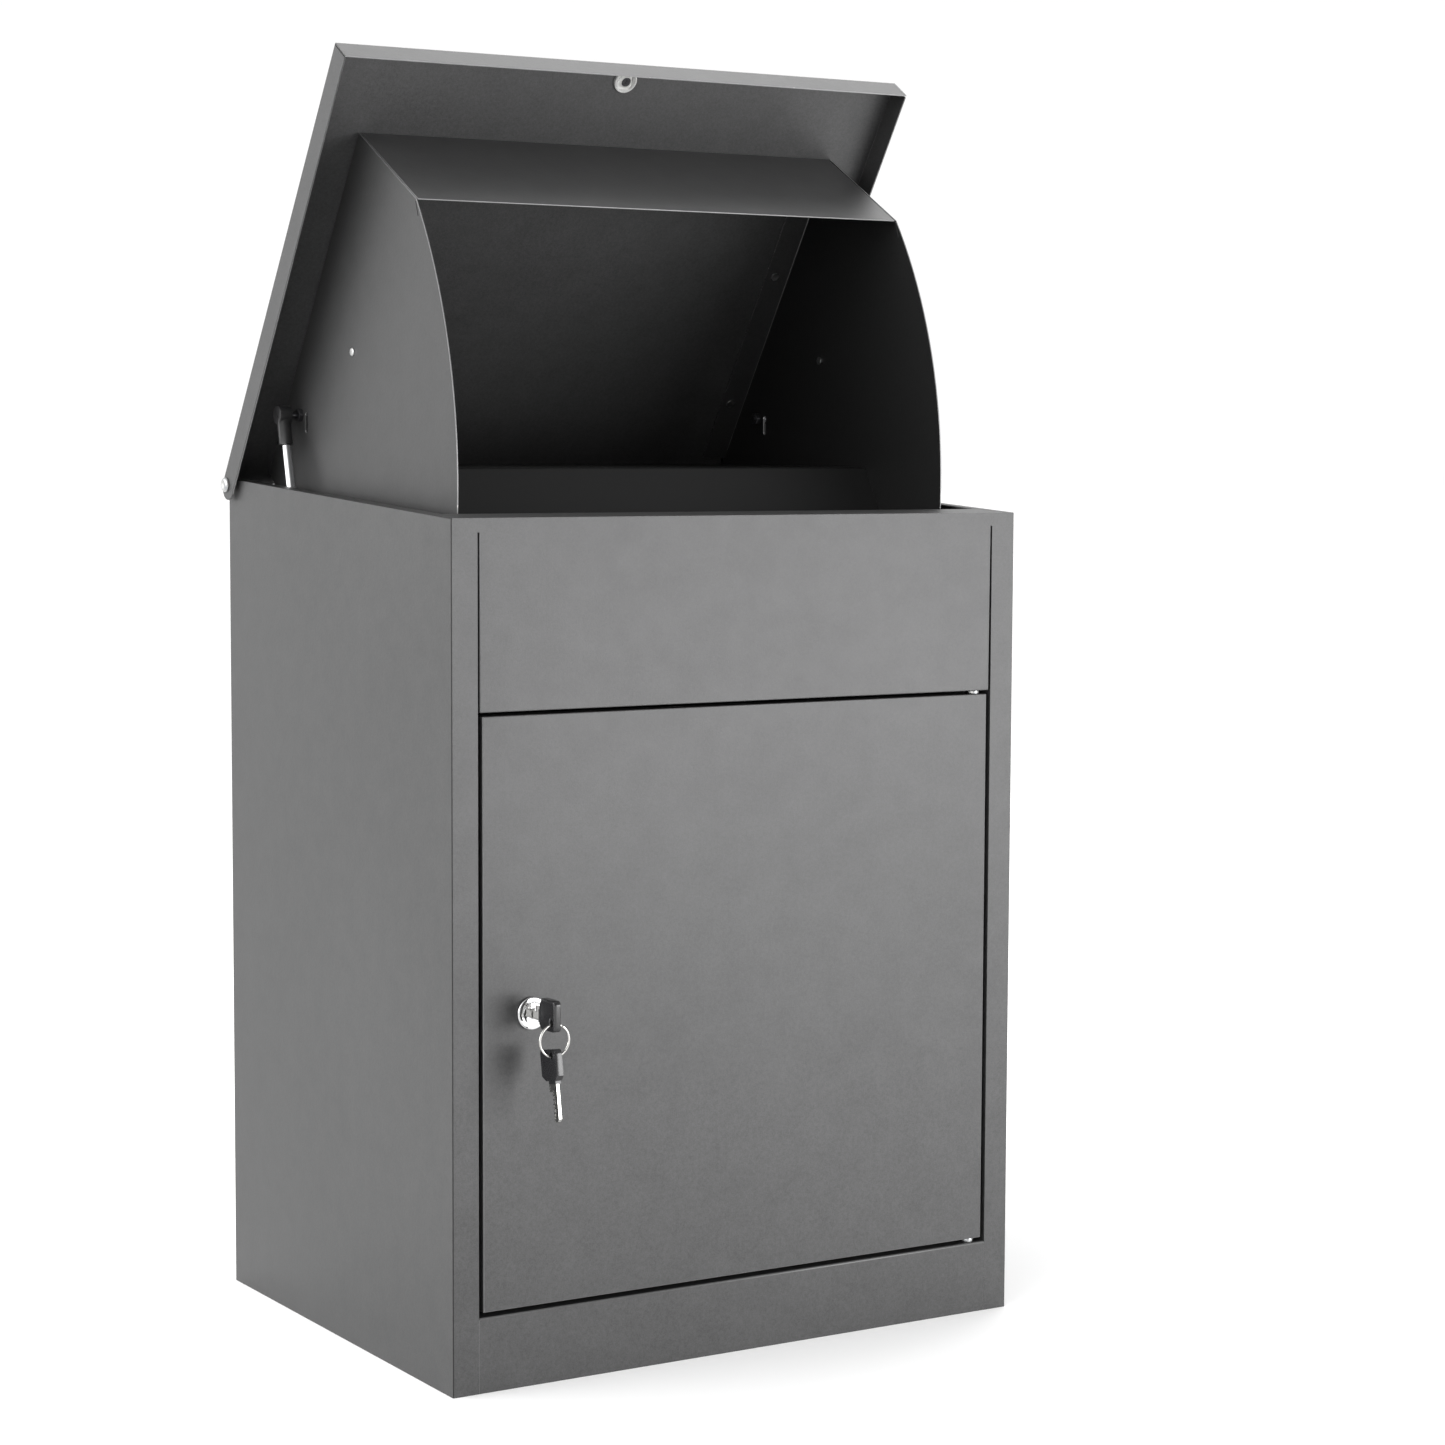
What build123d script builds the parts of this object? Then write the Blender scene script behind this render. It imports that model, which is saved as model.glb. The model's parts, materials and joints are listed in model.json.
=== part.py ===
"""Parcel drop box: a sheet-steel cabinet with a locked front door and a lid that carries a scoop.

Millimetres, +Z up. The origin is the centre of the base on the floor, and the front faces -Y.
At rest the lid stands open on its two gas struts, and the door is shut but not locked.
"""
from math import atan2, cos, degrees, radians, sin
import os

from build123d import *

# Cabinet
WIDTH = 436.0
DEPTH = 345.0
HEIGHT_REAR = 580.0
HEIGHT_FRONT = 560.0          # the top slopes down towards the front
SHEET = 0.8
STILE_EDGE = 199.4            # inner edge of the front stiles, from the middle
STILE_RETURN = 20.0
RAIL_TOP = 49.5
HEADER_BOTTOM = 437.5         # lower edge of the fixed panel above the door
SLIT_EDGE = 198.0             # the header's edge where a slit parts it from the stile
SLIT_TOP = 551.0
RIM_SIDE = 10.0
RIM_FRONT = 32.0
RIM_CORNER_GAP = 0.3
REAR_CORNER_RADIUS = 4.0
PAN_FLANGE = 15.0
FIXING_RADIUS = 4.0
WALL_FIXING = (150.0, 120.0, 480.0)    # half spacing in X, lower and upper height
FLOOR_FIXING = (150.0, 110.0)          # half spacings in X and Y

# Lid, in its own frame: F runs forward from the hinge along the lid, U out of its top face
HINGE_INSET = 4.6             # hinge axis in front of the rear face
HINGE_Z = 575.8
LID_OPEN = 56.6               # degrees above the horizontal, at rest
LID_HALF = 222.3
LID_FRONT = 344.8
LID_TOP = 6.0                 # outer face above the hinge axis
LID_FLANGE = 18.1
RIVET_SHANK = 2.5
RUNNING_GAP = 0.06
BUMPER_F = 332.3
BUMPER = (8.5, 2.4)           # radius and thickness of the buffer disc

# Scoop, hung from the lid's underside
SCOOP_HALF = 189.5
LIP_ROOT = (280.8, LID_TOP - SHEET)
LIP_TIP = (287.3, -93.0)
ARC_MIDDLE = (198.0, -218.0)
ARC_END = (62.6, -287.5)
SCOOP_HEEL = (4.4, -13.9)
SCOOP_FLANGE = 20.0
LIP_SEAM = 0.8
FLOOR_LINE = ((3.6, 14.0), (199.5, 14.0), (274.5, -106.0))   # forward and up of the hinge, lid open
SIDE_RIVET = (153.3, -66.4)
FLANGE_RIVETS = (70.0, 182.0)

# Gas struts: forward and up of the hinge, lid open
STRUT_X = 203.0
STRUT_TOP = (55.1, 49.2)
STRUT_FOOT = (107.7, -164.4)
BALL = 4.0
CUP = 6.5
FOOT_CUP = 7.5
ROD = 3.0
TUBE = (7.5, 6.3)             # outer and inner radius
TUBE_SPAN = (15.0, 122.0)
PISTON_SPAN = (98.0, 106.0)

# Door
DOOR_HALF = 196.2
DOOR_Z = (52.5, 435.0)
DOOR_AXIS = (188.5, 6.0)      # from the middle, and behind the front face
PIN = 3.0

# Cam lock and keys
LOCK_X = -161.5
LOCK_Z = 243.6
LOCK_HEAD = (10.75, 2.6)
BARREL = 9.0
BARREL_END = 20.5
PLUG = 6.0
CAM_REACH = 46.0
CAM_THICK = 1.8
KEY_STANDOFF = 15.0           # bow in front of the door face
BOW = (20.0, 20.0, 5.0)       # length, height, thickness
BLADE = (26.0, 6.0, 2.2)
BOW_RAISE = 2.5               # of the bow above the blade's middle
KEY_HOLE = (1.9, -16.0, 2.2)  # across the bow, along it, radius
RING = (10.3, 0.85)           # mean radius, wire radius
HANG = 0.9                    # wire centre from the hole's centre
SPARE_TILT = 10.0

FRONT = -DEPTH / 2
REAR = DEPTH / 2
HALF = WIDTH / 2
INNER = HALF - SHEET
SLOPE = (HEIGHT_REAR - HEIGHT_FRONT) / DEPTH
HINGE_Y = REAR - HINGE_INSET
LID_UNDER = LID_TOP - SHEET
STRUT_LENGTH = ((STRUT_FOOT[0] - STRUT_TOP[0]) ** 2 + (STRUT_TOP[1] - STRUT_FOOT[1]) ** 2) ** 0.5
STRUT_LEAN = degrees(atan2(STRUT_FOOT[0] - STRUT_TOP[0], STRUT_TOP[1] - STRUT_FOOT[1]))
KEY_FACE = FRONT - KEY_STANDOFF
RING_Y = KEY_FACE + KEY_HOLE[1]
RING_TOP_Z = LOCK_Z - KEY_HOLE[0] - HANG
RING_BOTTOM_Z = RING_TOP_Z - 2 * RING[0]

MIRROR = Plane.YZ


def span(x, y, z):
    """A block from three (low, high) pairs."""
    size = [high - low for low, high in (x, y, z)]
    middle = [(high + low) / 2 for low, high in (x, y, z)]
    return Pos(*middle) * Box(*size)


def prism_x(points, x):
    """A (Y, Z) outline pushed along X between two places."""
    face = make_face(Plane.YZ.offset(x[0]) * Polyline(*points, close=True))
    return extrude(face, amount=x[1] - x[0], dir=(1, 0, 0))


def prism_z(points, z):
    """An (X, Y) outline pushed along Z between two heights."""
    face = make_face(Plane.XY.offset(z[0]) * Polyline(*points, close=True))
    return extrude(face, amount=z[1] - z[0], dir=(0, 0, 1))


def round_x(y, z, x, radius):
    """A round bar along X."""
    return Pos((x[0] + x[1]) / 2, y, z) * Rot(0, 90, 0) * Cylinder(radius, x[1] - x[0])


def round_y(x, z, y, radius):
    """A round bar along Y."""
    return Pos(x, (y[0] + y[1]) / 2, z) * Rot(90, 0, 0) * Cylinder(radius, y[1] - y[0])


def round_z(x, y, z, radius):
    """A round bar along Z."""
    return Pos(x, y, (z[0] + z[1]) / 2) * Cylinder(radius, z[1] - z[0])


def hex_x(y, z, x, across_flats):
    """A hexagonal bar along X."""
    face = Plane.YZ.offset(x[0]) * Pos(y, z) * RegularPolygon(across_flats / 2, 6, major_radius=False)
    return extrude(face, amount=x[1] - x[0])


def hex_y(x, z, y, across_flats):
    """A hexagonal bar along Y, pushed back from its front end."""
    plane = Plane(origin=(x, y[0], z), x_dir=(1, 0, 0), z_dir=(0, 1, 0))
    return extrude(plane * RegularPolygon(across_flats / 2, 6, major_radius=False), amount=y[1] - y[0])


def dome_x(y, z, x, radius):
    """A button head on the +X side: flat at x[0], with its rim rounded at x[1]."""
    head = round_x(y, z, x, radius)
    outer = head.edges().filter_by(GeomType.CIRCLE).sort_by(Axis.X)[-1]
    return fillet(outer, (x[1] - x[0]) * 0.8)


def both(shape):
    """The shape and its mirror image, as a group of separate solids."""
    return Compound(children=[shape, mirror(shape, MIRROR)])


def group(shapes):
    return Compound(children=list(shapes))


def folded(points, x):
    """Sheet folded along a (Y, Z) line; its thickness lies to the right of the line's direction."""
    turned = []
    count = len(points)
    for index, (y, z) in enumerate(points):
        ways = []
        for a, b in ((index - 1, index), (index, index + 1)):
            if 0 <= a and b < count:
                run = (points[b][0] - points[a][0], points[b][1] - points[a][1])
                length = (run[0] ** 2 + run[1] ** 2) ** 0.5
                ways.append((run[1] / length, -run[0] / length))
        mean = [sum(way[axis] for way in ways) / len(ways) for axis in (0, 1)]
        reach = SHEET / (mean[0] ** 2 + mean[1] ** 2)
        turned.append((y + mean[0] * reach, z + mean[1] * reach))
    return prism_x(list(points) + turned[::-1], x)


def from_hinge(forward, up):
    """Row (Y, Z) of a place forward and up of the hinge axis."""
    return HINGE_Y - forward, HINGE_Z + up


def open_lid(shape):
    """Puts a shape drawn in the lid's frame, where -Y is F and +Z is U, into the open pose."""
    return Pos(0, HINGE_Y, HINGE_Z) * Rot(-LID_OPEN, 0, 0) * shape


def to_lid(forward, up):
    """Lid (F, U) of a place forward and up of the hinge axis with the lid open."""
    angle = radians(LID_OPEN)
    return forward * cos(angle) + up * sin(angle), up * cos(angle) - forward * sin(angle)


def on_strut(shape):
    """Puts a shape drawn along +Z from the foot ball to the top ball onto the strut's line."""
    return Pos(STRUT_X, *from_hinge(*STRUT_FOOT)) * Rot(-STRUT_LEAN, 0, 0) * shape


# Cabinet

def rim_slab():
    """The thin sloping layer that the folded rim is cut from."""
    rise = SHEET * (1 + SLOPE ** 2) ** 0.5
    outline = [(FRONT, HEIGHT_FRONT - rise), (REAR, HEIGHT_REAR - rise),
               (REAR, HEIGHT_REAR), (FRONT, HEIGHT_FRONT)]
    return prism_x(outline, (-HALF, HALF))


def side_panel():
    """Right side: wall, stile, stile return and rim flange in one folded sheet."""
    wall = prism_x([(FRONT, 0), (REAR, 0), (REAR, HEIGHT_REAR), (FRONT, HEIGHT_FRONT)], (INNER, HALF))
    corner = wall.edges().filter_by(Axis.X).sort_by(Axis.Z)[-1]
    wall = fillet(corner, REAR_CORNER_RADIUS)
    stile = span((STILE_EDGE, HALF), (FRONT, FRONT + SHEET), (0, HEIGHT_FRONT))
    fold = span((STILE_EDGE, STILE_EDGE + SHEET), (FRONT, FRONT + STILE_RETURN),
                (RAIL_TOP, HEADER_BOTTOM))
    edge = HALF - RIM_SIDE
    front_corner = FRONT + SHEET + RIM_CORNER_GAP
    rim = prism_z([(INNER, front_corner), (INNER, REAR - 12), (edge, REAR - 12),
                   (edge, front_corner + INNER - edge)], (HEIGHT_FRONT - 5, HEIGHT_REAR + 5)) & rim_slab()
    panel = wall + stile + fold + rim
    panel -= round_x(HINGE_Y, HINGE_Z, (INNER - 1, HALF + 1), RIVET_SHANK)
    return panel


def back_panel():
    """Rear wall, with a welding flange up each side and four wall fixings."""
    top = HEIGHT_REAR - REAR_CORNER_RADIUS
    panel = span((-INNER, INNER), (REAR - SHEET, REAR), (0, top))
    for side in (-1, 1):
        x = sorted((side * INNER, side * (INNER - SHEET)))
        panel += span(x, (REAR - 13, REAR), (PAN_FLANGE + 1, HINGE_Z - 12))
    half, low, high = WALL_FIXING
    for x in (-half, half):
        for z in (low, high):
            panel -= round_y(x, z, (REAR - 2, REAR + 1), FIXING_RADIUS)
    return panel


def base_panel():
    """Floor pan, turned up all round, with four floor fixings."""
    x = (-INNER, INNER)
    y = (FRONT + SHEET, REAR - SHEET)
    pan = span(x, y, (0, PAN_FLANGE))
    pan -= span((x[0] + SHEET, x[1] - SHEET), (y[0] + SHEET, y[1] - SHEET), (SHEET, PAN_FLANGE + 1))
    for sx in (-1, 1):
        for sy in (-1, 1):
            pan -= round_z(sx * FLOOR_FIXING[0], sy * FLOOR_FIXING[1], (-1, 2), FIXING_RADIUS)
    return pan


def pin_hole(z, radius):
    return round_z(DOOR_AXIS[0], FRONT + DOOR_AXIS[1], z, radius)


def header_panel():
    """Fixed panel above the door, with the front part of the rim."""
    panel = span((-SLIT_EDGE, SLIT_EDGE), (FRONT, FRONT + SHEET), (HEADER_BOTTOM, HEIGHT_FRONT))
    panel += span((-STILE_EDGE, STILE_EDGE), (FRONT, FRONT + SHEET), (SLIT_TOP, HEIGHT_FRONT))
    panel += span((-SLIT_EDGE, SLIT_EDGE), (FRONT, FRONT + PAN_FLANGE),
                  (HEADER_BOTTOM, HEADER_BOTTOM + SHEET))
    for side in (-1, 1):
        x = sorted((side * SLIT_EDGE, side * (SLIT_EDGE - SHEET)))
        panel += span(x, (FRONT, FRONT + 12), (HEADER_BOTTOM, SLIT_TOP))
    edge = HALF - RIM_SIDE
    near = FRONT + SHEET
    outline = [(-INNER, near), (INNER, near), (edge, near + INNER - edge), (edge, FRONT + RIM_FRONT),
               (-edge, FRONT + RIM_FRONT), (-edge, near + INNER - edge)]
    panel += prism_z(outline, (HEIGHT_FRONT - 5, HEIGHT_REAR + 5)) & rim_slab()
    panel -= pin_hole((HEADER_BOTTOM - 1, HEADER_BOTTOM + 2), PIN)
    return panel


def lower_rail():
    """Front rail under the door, folded back and down along its top."""
    x = (-STILE_EDGE, STILE_EDGE)
    outline = [(FRONT, 0), (FRONT, RAIL_TOP), (FRONT + STILE_RETURN, RAIL_TOP),
               (FRONT + STILE_RETURN, RAIL_TOP - 12)]
    return folded(outline, x) - pin_hole((RAIL_TOP - 2, RAIL_TOP + 1), PIN)


def lid_rivets():
    """The two shouldered rivets that the lid swings on."""
    y, z = HINGE_Y, HINGE_Z
    rivet = round_x(y, z, (INNER - 2.5, LID_HALF + 0.2), RIVET_SHANK)
    rivet += round_x(y, z, (INNER - 2.5, INNER), 3.6)
    rivet += dome_x(y, z, (LID_HALF + 0.1, LID_HALF + 2.6), 5.25)
    return both(rivet)


def lid_washers():
    """Nylon washers that space the lid's flanges off the cabinet's sides."""
    x = (HALF, LID_HALF - SHEET - 0.1)
    washer = round_x(HINGE_Y, HINGE_Z, x, 5.0) - round_x(HINGE_Y, HINGE_Z, x, RIVET_SHANK + 0.05)
    return both(washer)


def strut_brackets():
    """Doubler plates welded to the side walls behind the lower ball studs."""
    y, z = from_hinge(*STRUT_FOOT)
    return both(span((INNER - 2, INNER), (y - 14, y + 14), (z - 18, z + 18)))


def stud_ball(y, z):
    """A stud's ball, with its poles on the shank's axis."""
    return Pos(STRUT_X, y, z) * Rot(0, 90, 0) * Sphere(BALL)


def foot_studs():
    """Ball studs on the side walls for the struts' feet."""
    y, z = from_hinge(*STRUT_FOOT)
    wall = INNER - 2
    stud = hex_x(y, z, (wall - 3, wall), 9.0) + round_x(y, z, (STRUT_X, wall), 2.2)
    return both(stud + stud_ball(y, z))


def hinge_pins():
    """Door pins, pressed into the rail and into the header from the far side."""
    low = pin_hole((RAIL_TOP - 10, DOOR_Z[0] + 8), PIN) + pin_hole((RAIL_TOP - 12, RAIL_TOP - 10), 4.5)
    high = pin_hole((DOOR_Z[1] - 8, HEADER_BOTTOM + 10), PIN)
    high += pin_hole((HEADER_BOTTOM + 10, HEADER_BOTTOM + 12), 4.5)
    return group([low, high])


def hinge_washers():
    """Washers that carry the door on its pins and centre it in its gap."""
    low = (RAIL_TOP + 0.1, DOOR_Z[0] - 0.15)
    high = (DOOR_Z[1] + 0.15, HEADER_BOTTOM - 0.1)
    return group(pin_hole(z, 4.5) - pin_hole(z, PIN + RUNNING_GAP) for z in (low, high))


# Lid and scoop

def lid_panel():
    """Shallow lid with a flange down each side and across the front."""
    top = span((-LID_HALF, LID_HALF), (-LID_FRONT, 3.0), (LID_UNDER, LID_TOP))
    bottom = LID_TOP - LID_FLANGE
    round_end = LID_FLANGE / 2
    seam = 0.8
    outline = [(-LID_FRONT + SHEET + seam, bottom), (0, bottom), (0, LID_TOP),
               (-LID_FRONT + SHEET + seam, LID_TOP)]
    flange = prism_x(outline, (LID_HALF - SHEET, LID_HALF))
    flange += round_x(0, LID_TOP - round_end, (LID_HALF - SHEET, LID_HALF), round_end)
    flange -= round_x(0, 0, (LID_HALF - 2, LID_HALF + 1), RIVET_SHANK + RUNNING_GAP)
    lid = top + flange + mirror(flange, MIRROR)
    lid += span((-LID_HALF, LID_HALF), (-LID_FRONT, -LID_FRONT + SHEET), (bottom, LID_TOP))
    return open_lid(lid)


def scoop_side():
    """Right cheek of the scoop, with an inward flange under the lid."""
    x = SCOOP_HALF - SHEET
    tip, middle, end = [(-f, u) for f, u in (LIP_TIP, ARC_MIDDLE, ARC_END)]
    heel = (-SCOOP_HEEL[0], SCOOP_HEEL[1])
    root = (-LIP_ROOT[0], LIP_ROOT[1])
    back = (-8.0, LID_UNDER)
    edges = Polyline(end, heel, back, root, tip) + ThreePointArc(tip, middle, end)
    cheek = extrude(make_face(Plane.YZ.offset(x) * edges), amount=SHEET, dir=(1, 0, 0))
    cheek += span((x - SCOOP_FLANGE, x), (-LIP_ROOT[0] + 4, -20), (LID_UNDER - SHEET, LID_UNDER))
    slit_end = Plane.YZ.offset(x - 1) * Pos(tip[0] + 4.5, tip[1] - 5.0) * Rot(0, 0, -52)
    cheek -= extrude(slit_end * Rectangle(11, 0.8), amount=SHEET + 2)
    slot_f, slot_u = to_lid(64.5, 44.0)
    slot = Plane.YZ.offset(x - 1) * Pos(-slot_f, slot_u) * Rot(0, 0, 90 + LID_OPEN)
    cheek -= extrude(slot * SlotOverall(14, 4), amount=SHEET + 2)
    cheek -= round_x(-SIDE_RIVET[0], SIDE_RIVET[1], (x - 1, x + 2), 1.6)
    for f in FLANGE_RIVETS:
        cheek -= round_z(x - SCOOP_FLANGE * 0.62, -f, (LID_UNDER - 2, LID_UNDER), 1.6)
    stud_f, stud_u = to_lid(*STRUT_TOP)
    cheek -= round_x(-stud_f, stud_u, (x - 1, x + 2), 2.5)
    return open_lid(cheek)


def scoop_lip():
    """Lip across the front of the scoop, meeting the cheeks at open seams."""
    line = [(-LIP_TIP[0], LIP_TIP[1]), (-LIP_ROOT[0], LIP_ROOT[1])]
    x = SCOOP_HALF - SHEET - LIP_SEAM
    return open_lid(folded(line, (-x, x)))


def scoop_floor():
    """Floor that a parcel is laid on, turned down into an apron at the front."""
    x = SCOOP_HALF - SHEET
    line = [from_hinge(*place) for place in reversed(FLOOR_LINE)]
    return folded(line, (-x, x))


def scoop_rivets():
    """Rivets through the cheeks and through their flanges."""
    y, z = -SIDE_RIVET[0], SIDE_RIVET[1]
    outer = SCOOP_HALF
    side = dome_x(y, z, (outer, outer + 1.3), 3.0) + round_x(y, z, (outer - SHEET - 1, outer), 1.6)
    side += round_x(y, z, (outer - SHEET - 1.5, outer - SHEET), 2.6)
    pieces = [side]
    x = SCOOP_HALF - SHEET - SCOOP_FLANGE * 0.62
    for f in FLANGE_RIVETS:
        head = round_z(x, -f, (LID_UNDER - SHEET - 1.2, LID_UNDER - SHEET), 3.0)
        pieces.append(head + round_z(x, -f, (LID_UNDER - SHEET - 1, LID_UNDER), 1.6))
    pieces += [mirror(piece, MIRROR) for piece in pieces]
    return group(open_lid(piece) for piece in pieces)


def top_studs():
    """Ball studs through the scoop's cheeks for the struts' rods."""
    y, z = from_hinge(*STRUT_TOP)
    wall = SCOOP_HALF
    stud = hex_x(y, z, (wall, wall + 3), 9.0) + round_x(y, z, (wall, STRUT_X), 2.2)
    stud += round_x(y, z, (wall - SHEET - 4.6, wall + 1), 2.5)
    return both(stud + stud_ball(y, z))


def top_stud_nuts():
    """Nuts inside the scoop on the ball studs' threads."""
    y, z = from_hinge(*STRUT_TOP)
    x = (SCOOP_HALF - SHEET - 4, SCOOP_HALF - SHEET)
    return both(hex_x(y, z, x, 8.0) - round_x(y, z, x, 2.5))


def lid_bumper():
    """Buffer disc under the lid's front edge, countersunk for its screw."""
    radius, thick = BUMPER
    z = (LID_UNDER - thick, LID_UNDER)
    disc = round_z(0, -BUMPER_F, z, radius)
    disc = fillet(disc.edges().filter_by(GeomType.CIRCLE).sort_by(Axis.Z)[0], 0.9)
    disc -= round_z(0, -BUMPER_F, (z[0] - 1, z[1] + 1), 2.0)
    disc -= round_z(0, -BUMPER_F, (z[0] - 1, z[1] - 1.0), 3.6)
    return open_lid(disc)


def bumper_screw():
    """Pan-head screw in the buffer disc."""
    z = LID_UNDER - 1.0
    screw = round_z(0, -BUMPER_F, (z - 1.0, z), 3.4) + round_z(0, -BUMPER_F, (z - 0.5, LID_UNDER), 1.9)
    screw -= span((-2.2, 2.2), (-BUMPER_F - 0.4, -BUMPER_F + 0.4), (z - 1.5, z - 0.5))
    screw -= span((-0.4, 0.4), (-BUMPER_F - 2.2, -BUMPER_F + 2.2), (z - 1.5, z - 0.5))
    return open_lid(screw)


# Gas struts, drawn along +Z from the foot ball at 0 to the top ball at STRUT_LENGTH

def strut_rod():
    end = STRUT_LENGTH - 10
    return on_strut(round_z(0, 0, (PISTON_SPAN[0], end), ROD))


def strut_piston():
    ring = round_z(0, 0, PISTON_SPAN, TUBE[1] - 0.1) - round_z(0, 0, PISTON_SPAN, ROD)
    return on_strut(ring)


def strut_top_socket():
    """Ball socket screwed on the rod, entered by the stud from the scoop's side."""
    top = STRUT_LENGTH
    socket = round_x(0, top, (-4.5, 4.5), CUP) + round_z(0, 0, (top - 21, top - 3), 4.8)
    socket -= Pos(0, 0, top) * Sphere(BALL + RUNNING_GAP)
    socket -= round_x(0, top, (-6, 0), 3.3)
    socket -= round_z(0, 0, (top - 22, top - 10), ROD)
    return on_strut(socket)


def strut_tube():
    outer, inner = TUBE
    low, high = TUBE_SPAN
    tube = round_z(0, 0, (low, high), outer) - round_z(0, 0, (low + 3, high - 1), inner)
    tube -= round_z(0, 0, (high - 2, high + 1), ROD + 0.6)
    return on_strut(tube)


def strut_guide():
    """Rod guide and seal pack inside the tube's mouth."""
    span_z = (TUBE_SPAN[1] - 9, TUBE_SPAN[1] - 1)
    return on_strut(round_z(0, 0, span_z, TUBE[1]) - round_z(0, 0, span_z, ROD + RUNNING_GAP))


def strut_foot():
    """Foot socket, a hook left open at its rear so that it can lift off its ball."""
    foot = round_x(0, 0, (-5.1, 4.5), FOOT_CUP) + round_z(0, 0, (3, TUBE_SPAN[0]), 5.0)
    foot -= round_x(0, 0, (-4.2, 5), BALL + 0.2)
    foot -= span((-4.2, 5), (0, 9), (-4.9, 5.5))
    return on_strut(foot)


# Door, lock and keys

def door_panel():
    """Door pan, with holes for its pins and its lock."""
    x, y, z = (-DOOR_HALF, DOOR_HALF), (FRONT, FRONT + PAN_FLANGE), DOOR_Z
    pan = span(x, y, z)
    pan -= span((x[0] + SHEET, x[1] - SHEET), (y[0] + SHEET, y[1] + 1), (z[0] + SHEET, z[1] - SHEET))
    pan -= pin_hole((z[0] - 1, z[0] + 2), PIN + RUNNING_GAP)
    pan -= pin_hole((z[1] - 2, z[1] + 1), PIN + RUNNING_GAP)
    return pan - round_y(LOCK_X, LOCK_Z, (FRONT - 1, FRONT + 2), BARREL + 0.1)


def lock_bar(y, radius):
    """A round bar on the lock's axis, between two depths behind the door's face."""
    return round_y(LOCK_X, LOCK_Z, (FRONT + y[0], FRONT + y[1]), radius)


def lock_block(half_x, y, half_z):
    return span((LOCK_X - half_x, LOCK_X + half_x), (FRONT + y[0], FRONT + y[1]),
                (LOCK_Z - half_z, LOCK_Z + half_z))


def lock_housing():
    """Flanged lock body with two flats on its barrel."""
    radius, proud = LOCK_HEAD
    head = lock_bar((-proud, 0), radius)
    front = head.edges().filter_by(GeomType.CIRCLE).sort_by(Axis.Y)[0]
    head = fillet(front, 1.2)
    body = head + (lock_bar((0, BARREL_END), BARREL) & lock_block(8.0, (0, BARREL_END), BARREL + 1))
    body -= lock_bar((-proud - 1, BARREL_END + 1), PLUG + RUNNING_GAP)
    return body - lock_bar((-proud - 1, -proud + 1.0), PLUG + 1 + RUNNING_GAP)


def lock_nut():
    depth = (SHEET, SHEET + 4)
    nut = hex_y(LOCK_X, LOCK_Z, (FRONT + depth[0], FRONT + depth[1]), 24.0)
    return nut - lock_bar((0, 6), BARREL + 0.05)


def lock_plug():
    """Turning plug with its keyway, its square tail and a tapped hole for the cam's screw."""
    front = -LOCK_HEAD[1]
    tail = BARREL_END + 0.3
    plug = lock_bar((front + 0.5, tail), PLUG) + lock_bar((front - 0.3, front + 0.9), PLUG + 1)
    plug += lock_block(4.0, (tail, tail + CAM_THICK), 4.0)
    plug -= lock_block(BLADE[2] / 2 + 0.1, (front - 1, BARREL_END - 3), BLADE[1] / 2 + 0.2)
    return plug - lock_bar((BARREL_END - 2, tail + 3), 2.5)


def lock_cam():
    """Flat cam, hanging straight down when unlocked."""
    front = BARREL_END + 0.4
    depth = (front, front + CAM_THICK)
    plane = Plane(origin=(LOCK_X, FRONT + depth[0], LOCK_Z), x_dir=(1, 0, 0), z_dir=(0, 1, 0))
    middle = (CAM_REACH - 9) / 2
    bar = extrude(plane * Pos(0, middle) * Rot(0, 0, 90) * SlotOverall(CAM_REACH + 9, 16),
                  amount=CAM_THICK)
    return bar - lock_block(4.0, (depth[0] - 1, depth[1] + 1), 4.0)


def cam_screw():
    """Hexagon screw and washer that hold the cam on the plug."""
    face = BARREL_END + 0.4 + CAM_THICK
    screw = lock_bar((face, face + 1), 6.0) + lock_bar((BARREL_END - 1.5, face + 1), 2.5)
    return screw + hex_y(LOCK_X, LOCK_Z, (FRONT + face + 1, FRONT + face + 4), 8.0)


def key_blade():
    """Flat blade along +Z with its stop shoulder, notched edge and tang."""
    length, height, thick = BLADE
    half = thick / 2
    blade = span((-half, half), (-height / 2, height / 2), (-8, length))
    blade += span((-half, half), (-6.4, height / 2), (0, 7))
    for index, depth in enumerate((0.9, 1.5, 0.6, 1.2, 0.8)):
        z = 10.5 + 2.8 * index
        blade -= prism_x([(-height / 2 + depth, z - 0.5), (-height / 2 - 1, z - 1.6),
                          (-height / 2 - 1, z + 1.6), (-height / 2 + depth, z + 0.5)], (-2, 2))
    tip = 1.8
    for side in (-1, 1):
        edge = side * height / 2
        blade -= prism_x([(edge, length - tip), (edge, length + 1), (edge - side * tip, length + 1),
                          (edge - side * tip, length)], (-2, 2))
    return blade


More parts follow.
